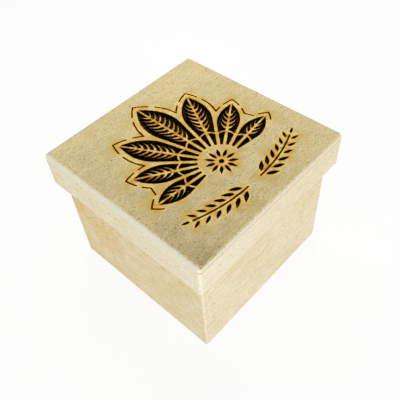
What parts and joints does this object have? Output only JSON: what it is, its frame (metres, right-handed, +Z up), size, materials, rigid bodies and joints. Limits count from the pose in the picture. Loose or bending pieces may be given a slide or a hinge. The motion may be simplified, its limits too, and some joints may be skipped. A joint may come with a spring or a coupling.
{
  "type": "keepsake box",
  "caption": "Square box of thin fibreboard with an overhanging lift-off lid, whose top is pierced by a fan of leaf shapes.",
  "frame": {"origin": "middle of the underside, on the surface that the box stands on", "axes": "+Z up out of the lid; -Y is the front, the side that the pierced design's lower edge faces; +X is right"},
  "size_m": [0.1, 0.1, 0.077],
  "materials": {
    "mdf_board": "raw sanded fibreboard, matt",
    "mdf_lid_top": "raw fibreboard, matt, scorched amber at the cuts",
    "mdf_base": "raw fibreboard, matt"
  },
  "bodies": {
    "box": {"base_panel": "mdf_base", "front_wall": "mdf_board", "right_wall": "mdf_board", "back_wall": "mdf_board", "left_wall": "mdf_board"},
    "lid": {"lid_top_panel": "mdf_lid_top", "front_skirt": "mdf_board", "right_skirt": "mdf_board", "back_skirt": "mdf_board", "left_skirt": "mdf_board"}
  },
  "joints": [
    {"name": "lid_lift", "type": "slide", "parent": "box", "child": "lid", "axis": [0, 0, 1], "range_m": [0, 0.035]}
  ]
}
